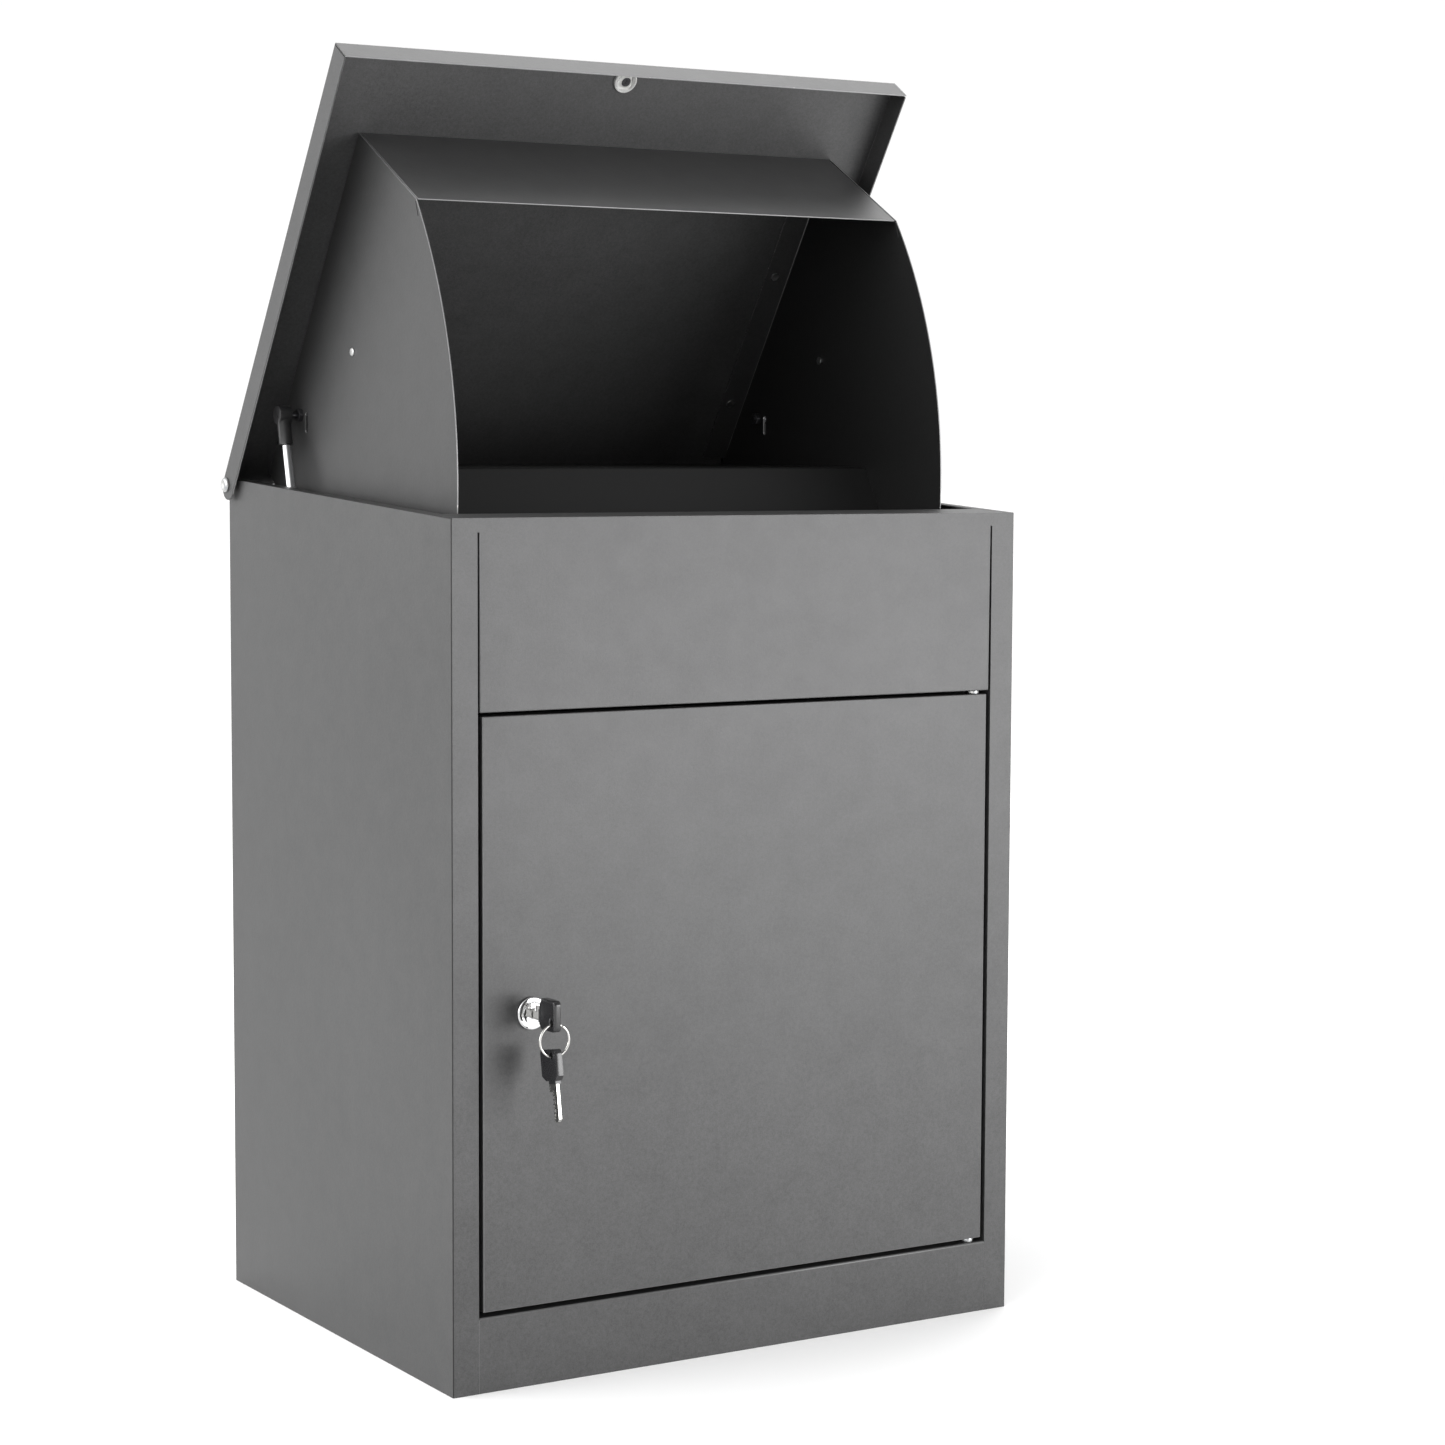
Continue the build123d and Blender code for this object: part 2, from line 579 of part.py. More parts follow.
def key_bow():
    """Moulded bow behind the blade, with a ring hole and a neck round the blade's root."""
    length, height, thick = BOW
    low, high = -height / 2 - BOW_RAISE, height / 2 - BOW_RAISE
    outline = [(low, -length), (high, -length), (high, -3), (high - 3, 0), (low + 5, 0), (low, -3)]
    bow = prism_x(outline, (-thick / 2, thick / 2))
    corners = bow.edges().filter_by(Axis.X).sort_by(Axis.Z)[:2]
    bow = fillet(corners, 3.0)
    bow += span((-2.0, 2.0), (-4.8, 4.0), (-1, 2))
    blade = span((-BLADE[2] / 2, BLADE[2] / 2), (-BLADE[1] / 2, BLADE[1] / 2), (-8, 3))
    blade += span((-BLADE[2] / 2, BLADE[2] / 2), (-6.4, BLADE[1] / 2), (0, 3))
    bow -= blade
    return bow - round_x(KEY_HOLE[0], KEY_HOLE[1], (-thick, thick), KEY_HOLE[2])


def in_lock(shape):
    """The working key: its blade points back into the plug."""
    return Pos(LOCK_X, KEY_FACE, LOCK_Z) * Rot(-90, 0, 0) * shape


def on_ring(shape):
    """The spare key: it hangs from the ring's lowest point and leans forward under its own weight."""
    hole = Pos(0, -KEY_HOLE[0], -KEY_HOLE[1] - HANG)
    return Pos(LOCK_X, RING_Y, RING_BOTTOM_Z) * Rot(180 - SPARE_TILT, 0, 0) * hole * shape


def key_ring():
    middle = RING_TOP_Z - RING[0]
    return Pos(LOCK_X, RING_Y, middle) * Rot(90, 0, 0) * Torus(*RING)


right_side = side_panel()
right_cheek = scoop_side()
nodes = {
    "right_side_panel": right_side,
    "left_side_panel": mirror(right_side, MIRROR),
    "back_panel": back_panel(),
    "base_panel": base_panel(),
    "header_panel": header_panel(),
    "lower_front_rail": lower_rail(),
    "lid_pivot_rivets": lid_rivets(),
    "lid_pivot_washers": lid_washers(),
    "strut_brackets": strut_brackets(),
    "strut_foot_studs": foot_studs(),
    "door_hinge_pins": hinge_pins(),
    "door_hinge_washers": hinge_washers(),
    "lid_panel": lid_panel(),
    "scoop_right_cheek": right_cheek,
    "scoop_left_cheek": mirror(right_cheek, MIRROR),
    "scoop_lip": scoop_lip(),
    "scoop_floor": scoop_floor(),
    "scoop_rivets": scoop_rivets(),
    "strut_top_studs": top_studs(),
    "strut_top_nuts": top_stud_nuts(),
    "lid_bumper": lid_bumper(),
    "bumper_screw": bumper_screw(),
    "door_panel": door_panel(),
    "lock_housing": lock_housing(),
    "lock_nut": lock_nut(),
    "lock_plug": lock_plug(),
    "lock_cam": lock_cam(),
    "cam_screw": cam_screw(),
    "key_blade": in_lock(key_blade()),
    "key_bow": in_lock(key_bow()),
    "key_ring": key_ring(),
    "spare_key_blade": on_ring(key_blade()),
    "spare_key_bow": on_ring(key_bow()),
}
strut = {
    "rod": strut_rod(),
    "piston": strut_piston(),
    "top_socket": strut_top_socket(),
    "tube": strut_tube(),
    "guide": strut_guide(),
    "foot_socket": strut_foot(),
}
for piece, shape in strut.items():
    nodes["right_strut_" + piece] = shape
    nodes["left_strut_" + piece] = mirror(shape, MIRROR)

os.makedirs("parts", exist_ok=True)
for name, shape in nodes.items():
    export_step(shape, f"parts/{name}.step")
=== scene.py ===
"""Finishes the pieces of a sheet-steel parcel drop box around its fixed CAD frame.

The cabinet, lid and door get the rounded folds and thin cut edges of real sheet, the lock, keys,
rivets and gas struts get their machined and moulded detail, and every finish is procedural.
Metres, +Z up, the front faces -Y.
"""

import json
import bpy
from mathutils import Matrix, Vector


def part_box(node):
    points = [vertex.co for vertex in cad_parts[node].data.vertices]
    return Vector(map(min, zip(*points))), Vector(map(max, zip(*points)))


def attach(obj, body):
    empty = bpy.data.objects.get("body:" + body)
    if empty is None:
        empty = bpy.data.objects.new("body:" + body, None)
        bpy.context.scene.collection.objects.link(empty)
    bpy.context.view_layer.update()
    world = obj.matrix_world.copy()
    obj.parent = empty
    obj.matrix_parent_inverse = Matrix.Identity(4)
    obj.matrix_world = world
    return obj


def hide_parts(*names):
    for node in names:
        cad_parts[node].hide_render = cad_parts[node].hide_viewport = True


bl_info = {
    "name": "Parcel Drop Box",
    "version": (1, 0, 0),
    "blender": (4, 5, 0),
    "location": "3D View > Sidebar > Drop Box",
    "description": "Finishes the pieces of a sheet-steel parcel drop box and lights a plain studio",
    "category": "Object",
}

from math import cos, pi, radians, sin

import bmesh
import bpy
from bpy.props import FloatProperty, FloatVectorProperty, IntProperty, PointerProperty
from mathutils import Matrix, Vector

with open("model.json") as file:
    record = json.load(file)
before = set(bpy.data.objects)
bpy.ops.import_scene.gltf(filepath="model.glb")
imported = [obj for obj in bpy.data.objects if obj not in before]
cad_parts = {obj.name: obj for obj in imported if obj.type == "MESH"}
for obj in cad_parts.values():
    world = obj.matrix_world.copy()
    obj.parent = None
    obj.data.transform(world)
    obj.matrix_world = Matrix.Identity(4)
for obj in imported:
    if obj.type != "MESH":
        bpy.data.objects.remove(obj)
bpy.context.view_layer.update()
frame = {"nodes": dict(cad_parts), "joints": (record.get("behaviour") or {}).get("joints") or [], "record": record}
BODY_OF = {node: body for body, nodes in frame["record"]["behaviour"]["bodies"].items()
           for node in nodes}
FULL_TURN = 2 * pi
WELD_DISTANCE = 2e-6
FLAT_ANGLE = radians(0.3)
SHARP_ANGLE = radians(28)

SHEET_THICKNESS = 0.0008
CUT_EDGE_WIDTH = 1.8 * SHEET_THICKNESS
SHORTEST_FOLD = 0.012
NARROWEST_SLIT, WIDEST_SLIT = 0.0003, 0.0045
OUTER_CORNERS = 0.21
LID_SLOPE = radians(56.6)
LID_UNDERSIDE = (0, -sin(LID_SLOPE), -cos(LID_SLOPE))

LIGHTS = (
    ("front_box", (1.35, -2.25, 0.45), (0.0, 0.0, 0.3), (1.5, 0.9), 45.5),
    ("top_box", (0.0, 0.3, 2.6), (0.0, 0.0, 0.5), (1.8, 1.6), 6.5),
    ("rear_top_box", (1.3, 1.1, 2.7), (0.1, 0.1, 0.7), (1.8, 1.6), 31.6),
    ("side_box", (-2.6, 0.0, 1.4), (-0.1, 0.0, 0.5), (1.6, 1.6), 14.0),
)
SCREENS = (("Y", 1, 1.02), ("X", -1, 5.07), ("X", 1, 1.01), ("Z", 1, 0.53))


# Sizes and colours

class SheetSizes(bpy.types.PropertyGroup):
    fold_radius: FloatProperty(
        name="Fold radius", description="Outer radius of a fold, where the sheet leaves room for it",
        default=0.0013, min=0.0002, max=0.003, subtype="DISTANCE", unit="LENGTH")
    cut_radius: FloatProperty(
        name="Cut edge radius", description="Softness that the paint leaves on a cut edge",
        default=0.00016, min=0.00005, max=0.0004, subtype="DISTANCE", unit="LENGTH")
    fold_steps: IntProperty(
        name="Fold steps", description="Facets round a fold", default=4, min=1, max=8)
    colour: FloatVectorProperty(
        name="Powder coat", description="Colour of the satin powder coat", subtype="COLOR",
        size=3, default=(0.064, 0.064, 0.0645), min=0.0, max=1.0)


class StrutSizes(bpy.types.PropertyGroup):
    tube_wall: FloatProperty(
        name="Tube wall", description="Wall of the gas tube",
        default=0.0012, min=0.0004, max=0.003, subtype="DISTANCE", unit="LENGTH")
    mouth_radius: FloatProperty(
        name="Mouth radius", description="Inner radius of the tube's rolled mouth",
        default=0.0036, min=0.003, max=0.006, subtype="DISTANCE", unit="LENGTH")
    crimp_below_mouth: FloatProperty(
        name="Crimp place", description="From the tube's mouth to the middle of its crimp",
        default=0.0105, min=0.004, max=0.03, subtype="DISTANCE", unit="LENGTH")
    crimp_depth: FloatProperty(
        name="Crimp depth", description="Depth of the groove rolled round the tube",
        default=0.0007, min=0.0001, max=0.0011, subtype="DISTANCE", unit="LENGTH")
    crimp_width: FloatProperty(
        name="Crimp half width", description="Half the width of the rolled groove",
        default=0.0016, min=0.0005, max=0.004, subtype="DISTANCE", unit="LENGTH")


class KeySizes(bpy.types.PropertyGroup):
    ring_wire: FloatProperty(
        name="Ring wire", description="Width of the split ring's flattened wire",
        default=0.0015, min=0.0005, max=0.003, subtype="DISTANCE", unit="LENGTH")
    ring_turns: FloatProperty(
        name="Ring turns", description="How many times the wire goes round the split ring",
        default=1.94, min=1.1, max=3.0)
    ring_steps: IntProperty(
        name="Ring steps", description="Facets in one turn of the ring", default=56, min=16, max=128)


class StudioSizes(bpy.types.PropertyGroup):
    position: FloatVectorProperty(
        name="Camera place", description="Where the camera stands", subtype="XYZ", unit="LENGTH",
        size=3, default=(-1.15341, -2.00517, 0.6118))
    azimuth: FloatProperty(
        name="Azimuth", description="Camera heading, from +Y towards +X", subtype="ANGLE",
        default=radians(31.768))
    pitch: FloatProperty(
        name="Pitch", description="How far the camera looks down", subtype="ANGLE",
        default=radians(4.977))
    roll: FloatProperty(
        name="Roll", description="Turn of the camera about its own axis", subtype="ANGLE",
        default=radians(0.254))
    lens: FloatProperty(
        name="Lens", description="Focal length on a 36 mm wide picture",
        default=81.96, min=10, max=300)
    floor_colour: FloatVectorProperty(
        name="Floor", description="Colour of the plain floor", subtype="COLOR", size=3,
        default=(0.86, 0.86, 0.86), min=0.0, max=1.0)


GROUPS = {"drop_box_sheet": SheetSizes, "drop_box_strut": StrutSizes, "drop_box_keys": KeySizes,
          "drop_box_studio": StudioSizes}


# Shader building

class Wire:
    """A socket of a node tree under construction; arithmetic on it adds Math nodes."""

    def __init__(self, shader, socket):
        self.shader = shader
        self.socket = socket

    def math(self, operation, *values):
        return self.shader.node("ShaderNodeMath", {"operation": operation},
                                dict(enumerate(values)))

    def __add__(self, other):
        return self.math("ADD", self, other)

    def __sub__(self, other):
        return self.math("SUBTRACT", self, other)

    def __mul__(self, other):
        return self.math("MULTIPLY", self, other)

    def __radd__(self, other):
        return self.math("ADD", other, self)

    def __rsub__(self, other):
        return self.math("SUBTRACT", other, self)

    def __rmul__(self, other):
        return self.math("MULTIPLY", other, self)


class Shader:
    """The node tree of a material or of the surround, and the few node forms that it needs."""

    def __init__(self, owner, coordinates="Object"):
        self.owner = owner
        owner.use_nodes = True
        self.tree = owner.node_tree
        self.tree.nodes.clear()
        self.place = self.node("ShaderNodeTexCoord", output=coordinates)

    def node(self, kind, settings=None, inputs=None, output=0):
        node = self.tree.nodes.new(kind)
        for name, value in (settings or {}).items():
            if name == "stops":
                for stop, (position, level) in zip(node.color_ramp.elements, value):
                    stop.position = position
                    stop.color = (level, level, level, 1)
            else:
                setattr(node, name, value)
        for name, value in (inputs or {}).items():
            if isinstance(value, Wire):
                self.tree.links.new(value.socket, node.inputs[name])
            else:
                node.inputs[name].default_value = value
        return None if output is None else Wire(self, node.outputs[output])

    def noise(self, scale, detail=2.0, stretch=None):
        """Noise between 0 and 1; scale is in cycles per metre."""
        place = self.place
        if stretch:
            place = self.node("ShaderNodeMapping", None, {"Vector": place, "Scale": stretch})
        return self.node("ShaderNodeTexNoise", None,
                         {"Vector": place, "Scale": scale, "Detail": detail})

    def ramp(self, value, low, high):
        """0 below low and 1 above high."""
        return self.node("ShaderNodeValToRGB", {"stops": ((low, 0.0), (high, 1.0))}, {0: value})

    def mix(self, mask, one, other):
        """Colour one where mask is 0, and the other where it is 1."""
        def colour(value):
            return value if isinstance(value, Wire) else (*value, 1.0)
        return self.node("ShaderNodeMix", {"data_type": "RGBA"},
                         {0: mask, 6: colour(one), 7: colour(other)}, output=2)

    def bump(self, height, strength, distance):
        return self.node("ShaderNodeBump", None,
                         {"Strength": strength, "Distance": distance, "Height": height})

    def surface(self, inputs):
        """Ends the material in a Principled shader with these sockets."""
        shader = self.node("ShaderNodeBsdfPrincipled", None, inputs)
        self.node("ShaderNodeOutputMaterial", None, {"Surface": shader}, output=None)
        return self.owner


def new_finish(name):
    return Shader(bpy.data.materials.new(name))


def shade(colour, factor):
    """The colour, lighter or darker."""
    return tuple(channel * factor for channel in colour)


# Finishes

def powder_coat():
    """Satin charcoal powder coat with a fine metallic grain.

    The attribute cut lightens cut edges, partly as rubbed wear with bare chips and partly as a painted
    highlight. It lightens folds as a painted highlight, and below 0 it darkens folds and slits as painted
    shade. The attribute inside is painted shade on faces within the scoop and in slits.
    """
    colour = bpy.context.scene.drop_box_sheet.colour
    s = new_finish("powder_coat")
    drift = s.noise(5, 3)
    cloud = s.noise(60, 3)
    peel = s.noise(420, 2)
    grain = s.noise(1100, 2)
    cut = s.node("ShaderNodeAttribute", {"attribute_name": "cut"}, output="Fac")
    painted_shade = s.node("ShaderNodeAttribute", {"attribute_name": "painted_shade"}, output="Fac")
    level = 0.15 * drift + 0.15 * cloud + 0.3 * peel + 0.4 * grain
    base = s.mix(s.ramp(level, 0.38, 0.62), shade(colour, 0.82), shade(colour, 1.18))
    # painted shade: a cut below 0 darkens shaded folds, and the walls of slits almost to black
    base = s.mix(0.0 - cut, base, shade(colour, 0.12))
    # cut edges lighten partly as rubbed wear and partly as a painted highlight, and folds lighten as a painted
    # highlight
    base = s.mix(cut * 0.8, base, shade(colour, 5.0))
    # painted shade: inside darkens the faces within the scoop and the walls of slits, as if in shadow
    base = s.mix(painted_shade, base, shade(colour, 0.35))
    chip = s.ramp(cut * s.noise(300, 4), 0.69, 0.73)
    return s.surface({
        "Base Color": s.mix(chip, base, (0.40, 0.40, 0.39)),
        "Metallic": 0.62 + 0.3 * chip,
        "Roughness": 0.37 + 0.10 * peel + 0.10 * grain - 0.08 * cut,
        "Normal": s.bump(peel + 0.5 * grain, 0.10, 0.0004),
    })


def zinc_steel():
    """Bright zinc plate with its faint bluish clouding."""
    s = new_finish("zinc_steel")
    cloud = s.noise(240, 3)
    scuff = s.noise(1600, 2, (1, 1, 0.2))
    return s.surface({
        "Base Color": s.mix(s.ramp(cloud, 0.35, 0.65), (0.36, 0.37, 0.38), (0.50, 0.50, 0.49)),
        "Metallic": 1.0,
        "Roughness": 0.24 + 0.16 * cloud + 0.06 * scuff,
        "Normal": s.bump(scuff, 0.12, 0.0001),
    })


def black_oxide():
    """Oiled black oxide on turned steel."""
    s = new_finish("black_oxide_steel")
    cloud = s.noise(400, 3)
    return s.surface({
        "Base Color": s.mix(cloud, (0.030, 0.030, 0.032), (0.062, 0.062, 0.066)),
        "Metallic": 0.8,
        "Roughness": 0.30 + 0.18 * cloud,
        "Normal": s.bump(s.noise(1800, 2), 0.10, 0.0001),
    })


def chromed_lock():
    """Polished chrome with light finger haze."""
    s = new_finish("chromed_lock")
    haze = s.noise(320, 3)
    return s.surface({
        "Base Color": s.mix(haze, (0.56, 0.56, 0.57), (0.64, 0.64, 0.64)),
        "Metallic": 1.0,
        "Roughness": 0.05 + 0.07 * s.ramp(haze, 0.45, 0.7),
        "Normal": s.bump(s.noise(900, 2), 0.03, 0.0001),
    })


def nickel_key():
    """Nickel plate, drawn along the blade."""
    s = new_finish("nickel_key")
    drawn = s.noise(2600, 2, (1, 1, 0.06))
    haze = s.noise(300, 2)
    return s.surface({
        "Base Color": s.mix(haze, (0.42, 0.415, 0.40), (0.52, 0.515, 0.50)),
        "Metallic": 1.0,
        "Roughness": 0.09 + 0.12 * drawn,
        "Normal": s.bump(drawn, 0.15, 0.00006),
    })


def moulded(name, dark, light, rough, grain_scale):
    """Moulded plastic or rubber with a spark-eroded grain."""
    s = new_finish(name)
    grain = s.noise(grain_scale, 2)
    cloud = s.noise(90, 2)
    return s.surface({
        "Base Color": s.mix(0.6 * cloud + 0.4 * grain, dark, light),
        "Roughness": rough - 0.06 + 0.16 * grain,
        "Normal": s.bump(grain, 0.25, 0.00006),
    })


def strut_rod():
    """Ground and hard-chromed rod."""
    s = new_finish("strut_rod")
    ground = s.noise(3000, 2, (0.1, 0.1, 1))
    return s.surface({
        "Base Color": s.mix(ground, (0.50, 0.50, 0.51), (0.60, 0.60, 0.61)),
        "Metallic": 1.0,
        "Roughness": 0.10 + 0.08 * ground,
        "Normal": s.bump(ground, 0.05, 0.00005),
    })


def strut_tube():
    """Black enamel with a slight peel."""
    s = new_finish("strut_tube")
    peel = s.noise(700, 2)
    return s.surface({
        "Base Color": s.mix(peel, (0.014, 0.014, 0.015), (0.024, 0.024, 0.026)),
        "Roughness": 0.22 + 0.12 * peel,
        "Coat Weight": 0.3 + 0.2 * peel,
        "Normal": s.bump(peel, 0.12, 0.0001),
    })


FINISHES = {
    "powder_coat": powder_coat,
    "zinc_steel": zinc_steel,
    "black_oxide": black_oxide,
    "chromed_lock": chromed_lock,
    "nickel_key": nickel_key,
    "strut_rod": strut_rod,
    "strut_tube": strut_tube,
}
MOULDINGS = {
    "key_plastic": ((0.008, 0.008, 0.009), (0.016, 0.016, 0.017), 0.20, 2400),
    "nylon": ((0.66, 0.66, 0.63), (0.78, 0.78, 0.75), 0.42, 1500),
    "buffer": ((0.40, 0.40, 0.39), (0.54, 0.54, 0.53), 0.24, 1200),
    "strut_seal": ((0.018, 0.018, 0.018), (0.034, 0.034, 0.034), 0.6, 1800),
    "socket_plastic": ((0.008, 0.008, 0.008), (0.016, 0.016, 0.017), 0.36, 2000),
}
made_finishes = {}


def finish(slot):
    """The material of a slot, made when it is first asked for."""
    if slot not in made_finishes:
        moulding = MOULDINGS.get(slot)
        made_finishes[slot] = moulded(slot, *moulding) if moulding else FINISHES[slot]()
    return made_finishes[slot]


# Mesh helpers

def cad_mesh(node):
    """A welded copy of a CAD node, with its flat faces made whole and its curved ones smooth."""
    bm = bmesh.new()
    bm.from_mesh(frame["nodes"][node].data)
    bmesh.ops.remove_doubles(bm, verts=bm.verts, dist=WELD_DISTANCE)
    bmesh.ops.dissolve_limit(bm, angle_limit=FLAT_ANGLE, verts=bm.verts, edges=bm.edges)
    smooth_curves(bm)
    return bm


def smooth_curves(bm):
    """Shades a face smooth where it carries on round a curve, and flat elsewhere."""
    for face in bm.faces:
        bends = [e.calc_face_angle(0.0) for e in face.edges]
        face.smooth = any(FLAT_ANGLE < bend < SHARP_ANGLE for bend in bends)


def strip_width(face):
    """Width of a long thin face; about the sheet's thickness on a cut edge."""
    return 2 * face.calc_area() / face.calc_perimeter()


def sharp_edges(bm, convex=True):
    """Edges that turn outwards, or else inwards, by more than a curve's facet does."""
    chosen = []
    for edge in bm.edges:
        if edge.is_manifold:
            turn = edge.calc_face_angle_signed(0.0)
            if (turn if convex else -turn) > SHARP_ANGLE:
                chosen.append(edge)
    return chosen


def round_over(bm, edges, radius, steps, clamp=True):
    """Bevels the edges to a radius and returns the new faces, shaded smooth."""
    if not edges:
        return []
    made = bmesh.ops.bevel(bm, geom=edges, offset=radius, offset_type="OFFSET", segments=steps,
                           profile=0.5, affect="EDGES", clamp_overlap=clamp, material=-1)
    for face in made["faces"]:
        face.smooth = True
    return made["faces"]


def publish(bm, node, ending, slot):
    """Turns the bmesh into a finished piece in place of a CAD node, on the node's body."""
    mesh = bpy.data.meshes.new(node + ending)
    bm.to_mesh(mesh)
    bm.free()
    piece = bpy.data.objects.new(node + ending, mesh)
    bpy.context.scene.collection.objects.link(piece)
    mesh.materials.append(finish(slot))
    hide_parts(node)
    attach(piece, BODY_OF[node])


def cut_edges(bm):
    """The faces of a sheet's cut edges: narrow, and not a sliver of a wide face."""
    narrow = {f for f in bm.faces if strip_width(f) < CUT_EDGE_WIDTH}

    def carries_on(edge):
        flat = edge.is_manifold and edge.calc_face_angle(0.0) < FLAT_ANGLE
        return flat and not narrow.issuperset(edge.link_faces)

    return {f for f in narrow if not any(carries_on(e) for e in f.edges)}


def slit_walls(faces):
    """The faces that look across a gap of a few millimetres at another of them."""
    def faces_across(one, other):
        gap = other.calc_center_median() - one.calc_center_median()
        opposite = one.normal.dot(other.normal) < -0.98
        return opposite and gap.length < WIDEST_SLIT and gap.dot(one.normal) > NARROWEST_SLIT

    return {one for one in faces if any(faces_across(one, other) for other in faces)}


def folded_sheet(node, fold_painted_light=0.2, shade_to_paint=None, tight_fold=None, clear_rims=False,
                 folds_beyond=0.0):
    """A sheet piece with rounded folds, and cut edges that show light through the paint, partly as
    wear and partly as a painted highlight.

    fold_painted_light: how far its outer folds are painted light as a highlight, or below 0 how dark they are
    painted as shade
    darkening: gives a face's painted shade, from 0 to 1
    tight_fold: a radius small enough to be kept on every outer fold
    clear_rims: rounds each cut edge in full, where the others leave room for their neighbours
    folds_beyond: folds nearer to the middle than this, in X, stay sharp
    """
    sizes = bpy.context.scene.drop_box_sheet
    bm = cad_mesh(node)
    cut = bm.faces.layers.float.new("cut")
    painted_shade = bm.faces.layers.float.new("painted_shade")
    edges = cut_edges(bm)
    # cut edges are lightened, partly as rubbed wear and partly as a painted highlight
    for face in bm.faces:
        face[cut] = 1.0 if face in edges else 0.0
        face[painted_shade] = shade_to_paint(face) if shade_to_paint else 0.0
    # painted shade: the walls of narrow slits and slots that face each other across a gap
    dark = slit_walls([f for f in bm.faces if f[cut] > 0.5])
    # painted highlight: the rounded outer folds take fold_painted_light and the inner folds 0.6, which lightens
    # them as a highlight, or below 0 darkens them as painted shade
    for convex, radius, tone in ((True, tight_fold or sizes.fold_radius, fold_painted_light),
                                 (False, sizes.fold_radius - SHEET_THICKNESS, 0.6)):
        folds = [e for e in sharp_edges(bm, convex)
                 if e.calc_length() > SHORTEST_FOLD and all(f[cut] < 0.5 for f in e.link_faces)
                 and max(abs(v.co.x) for v in e.verts) >= folds_beyond]
        clamp = not (convex and tight_fold)
        for face in round_over(bm, folds, radius, sizes.fold_steps, clamp):
            face[cut] = tone
    rims = [e for e in sharp_edges(bm)
            if any(f[cut] > 0.5 for f in e.link_faces) and not dark.intersection(e.link_faces)]
    # painted shade: the slit walls are painted near black, as if in shadow
    for face in dark:
        if face.is_valid:
            face[painted_shade] = 1.0
            face[cut] = -1.0
    # the rounded cut rims are lightened too, partly as wear and partly as a painted highlight
    for face in round_over(bm, rims, sizes.cut_radius, 2, clamp=not clear_rims):
        if face[cut] > -0.5:
            face[cut] = 1.0
    publish(bm, node, "_sheet", "powder_coat")


def softened(node, slot, radius, steps=2):
    """A machined, pressed or moulded piece with its sharp edges rounded over."""
    bm = cad_mesh(node)
    round_over(bm, sharp_edges(bm), radius, steps)
    publish(bm, node, "_finished", slot)


def recessed(node, slot, margin, depth, radius, ways=((1, 0, 0), (-1, 0, 0))):
    """A piece with a shallow panel sunk in its outermost flat face on each of these sides."""
    bm = cad_mesh(node)
    for way in map(Vector, ways):
        reach = max(way.dot(v.co) for v in bm.verts)
        side = [f for f in bm.faces
                if way.dot(f.normal) > 0.99 and reach - way.dot(f.calc_center_median()) < 1e-5]
        bmesh.ops.inset_region(bm, faces=side, thickness=margin, depth=-depth,
                               use_boundary=True, use_even_offset=True)
    round_over(bm, sharp_edges(bm), radius, 2)
    publish(bm, node, "_finished", slot)


def spun(profile, steps):
    """A shape turned about Z from a closed outline of (radius, height) points."""
    bm = bmesh.new()
    points = [bm.verts.new((radius, 0, height)) for radius, height in profile]
    for one, other in zip(points, points[1:] + points[:1]):
        bm.edges.new((one, other))
    bmesh.ops.spin(bm, geom=bm.verts[:] + bm.edges[:], cent=(0, 0, 0), axis=(0, 0, 1),
                   dvec=(0, 0, 0), angle=FULL_TURN, steps=steps, use_merge=True)
    bmesh.ops.remove_doubles(bm, verts=bm.verts, dist=WELD_DISTANCE)
    bmesh.ops.recalc_face_normals(bm, faces=bm.faces)
    for face in bm.faces:
        face.smooth = True
    return bm


def stand(bm, place, axis):
    """Moves a shape from the origin to its place, with its +Z along the axis."""
    turn = Vector(axis).to_track_quat("Z", "Y").to_matrix().to_4x4()
    bmesh.ops.transform(bm, matrix=Matrix.Translation(place) @ turn, verts=bm.verts)
    return bm


# Pieces

class DROPBOX_OT_cabinet(bpy.types.Operator):
    """Folds the cabinet's sides, back, base, header and rail"""
    bl_idname = "dropbox.cabinet"
    bl_label = "Cabinet"

    def execute(self, context):
        for node in ("right_side_panel", "left_side_panel"):
            # painted shade: the side panels' outer corner folds are darkened, as if in shadow
            folded_sheet(node, fold_painted_light=-0.6, tight_fold=0.0006, folds_beyond=OUTER_CORNERS)
        for node in ("back_panel", "base_panel", "header_panel", "lower_front_rail"):
            folded_sheet(node)
        return {"FINISHED"}


class DROPBOX_OT_lid(bpy.types.Operator):
    """Folds the lid and the scoop under it"""
    bl_idname = "dropbox.lid"
    bl_label = "Lid and Scoop"

    def execute(self, context):
        folded_sheet("lid_panel")
        folded_sheet("scoop_lip", clear_rims=True)
        # painted shade: the scoop's floor and the inner faces of its cheeks are darkened in full, and the rest of
        # each cheek a quarter as far, as if in shadow
        folded_sheet("scoop_floor", shade_to_paint=lambda face: 1.0)
        for side, inward in (("right", -1), ("left", 1)):
            folded_sheet(f"scoop_{side}_cheek", clear_rims=True,
                         shade_to_paint=lambda face: 1.0 if inward * face.normal.x > 0.9 else 0.25)
        return {"FINISHED"}


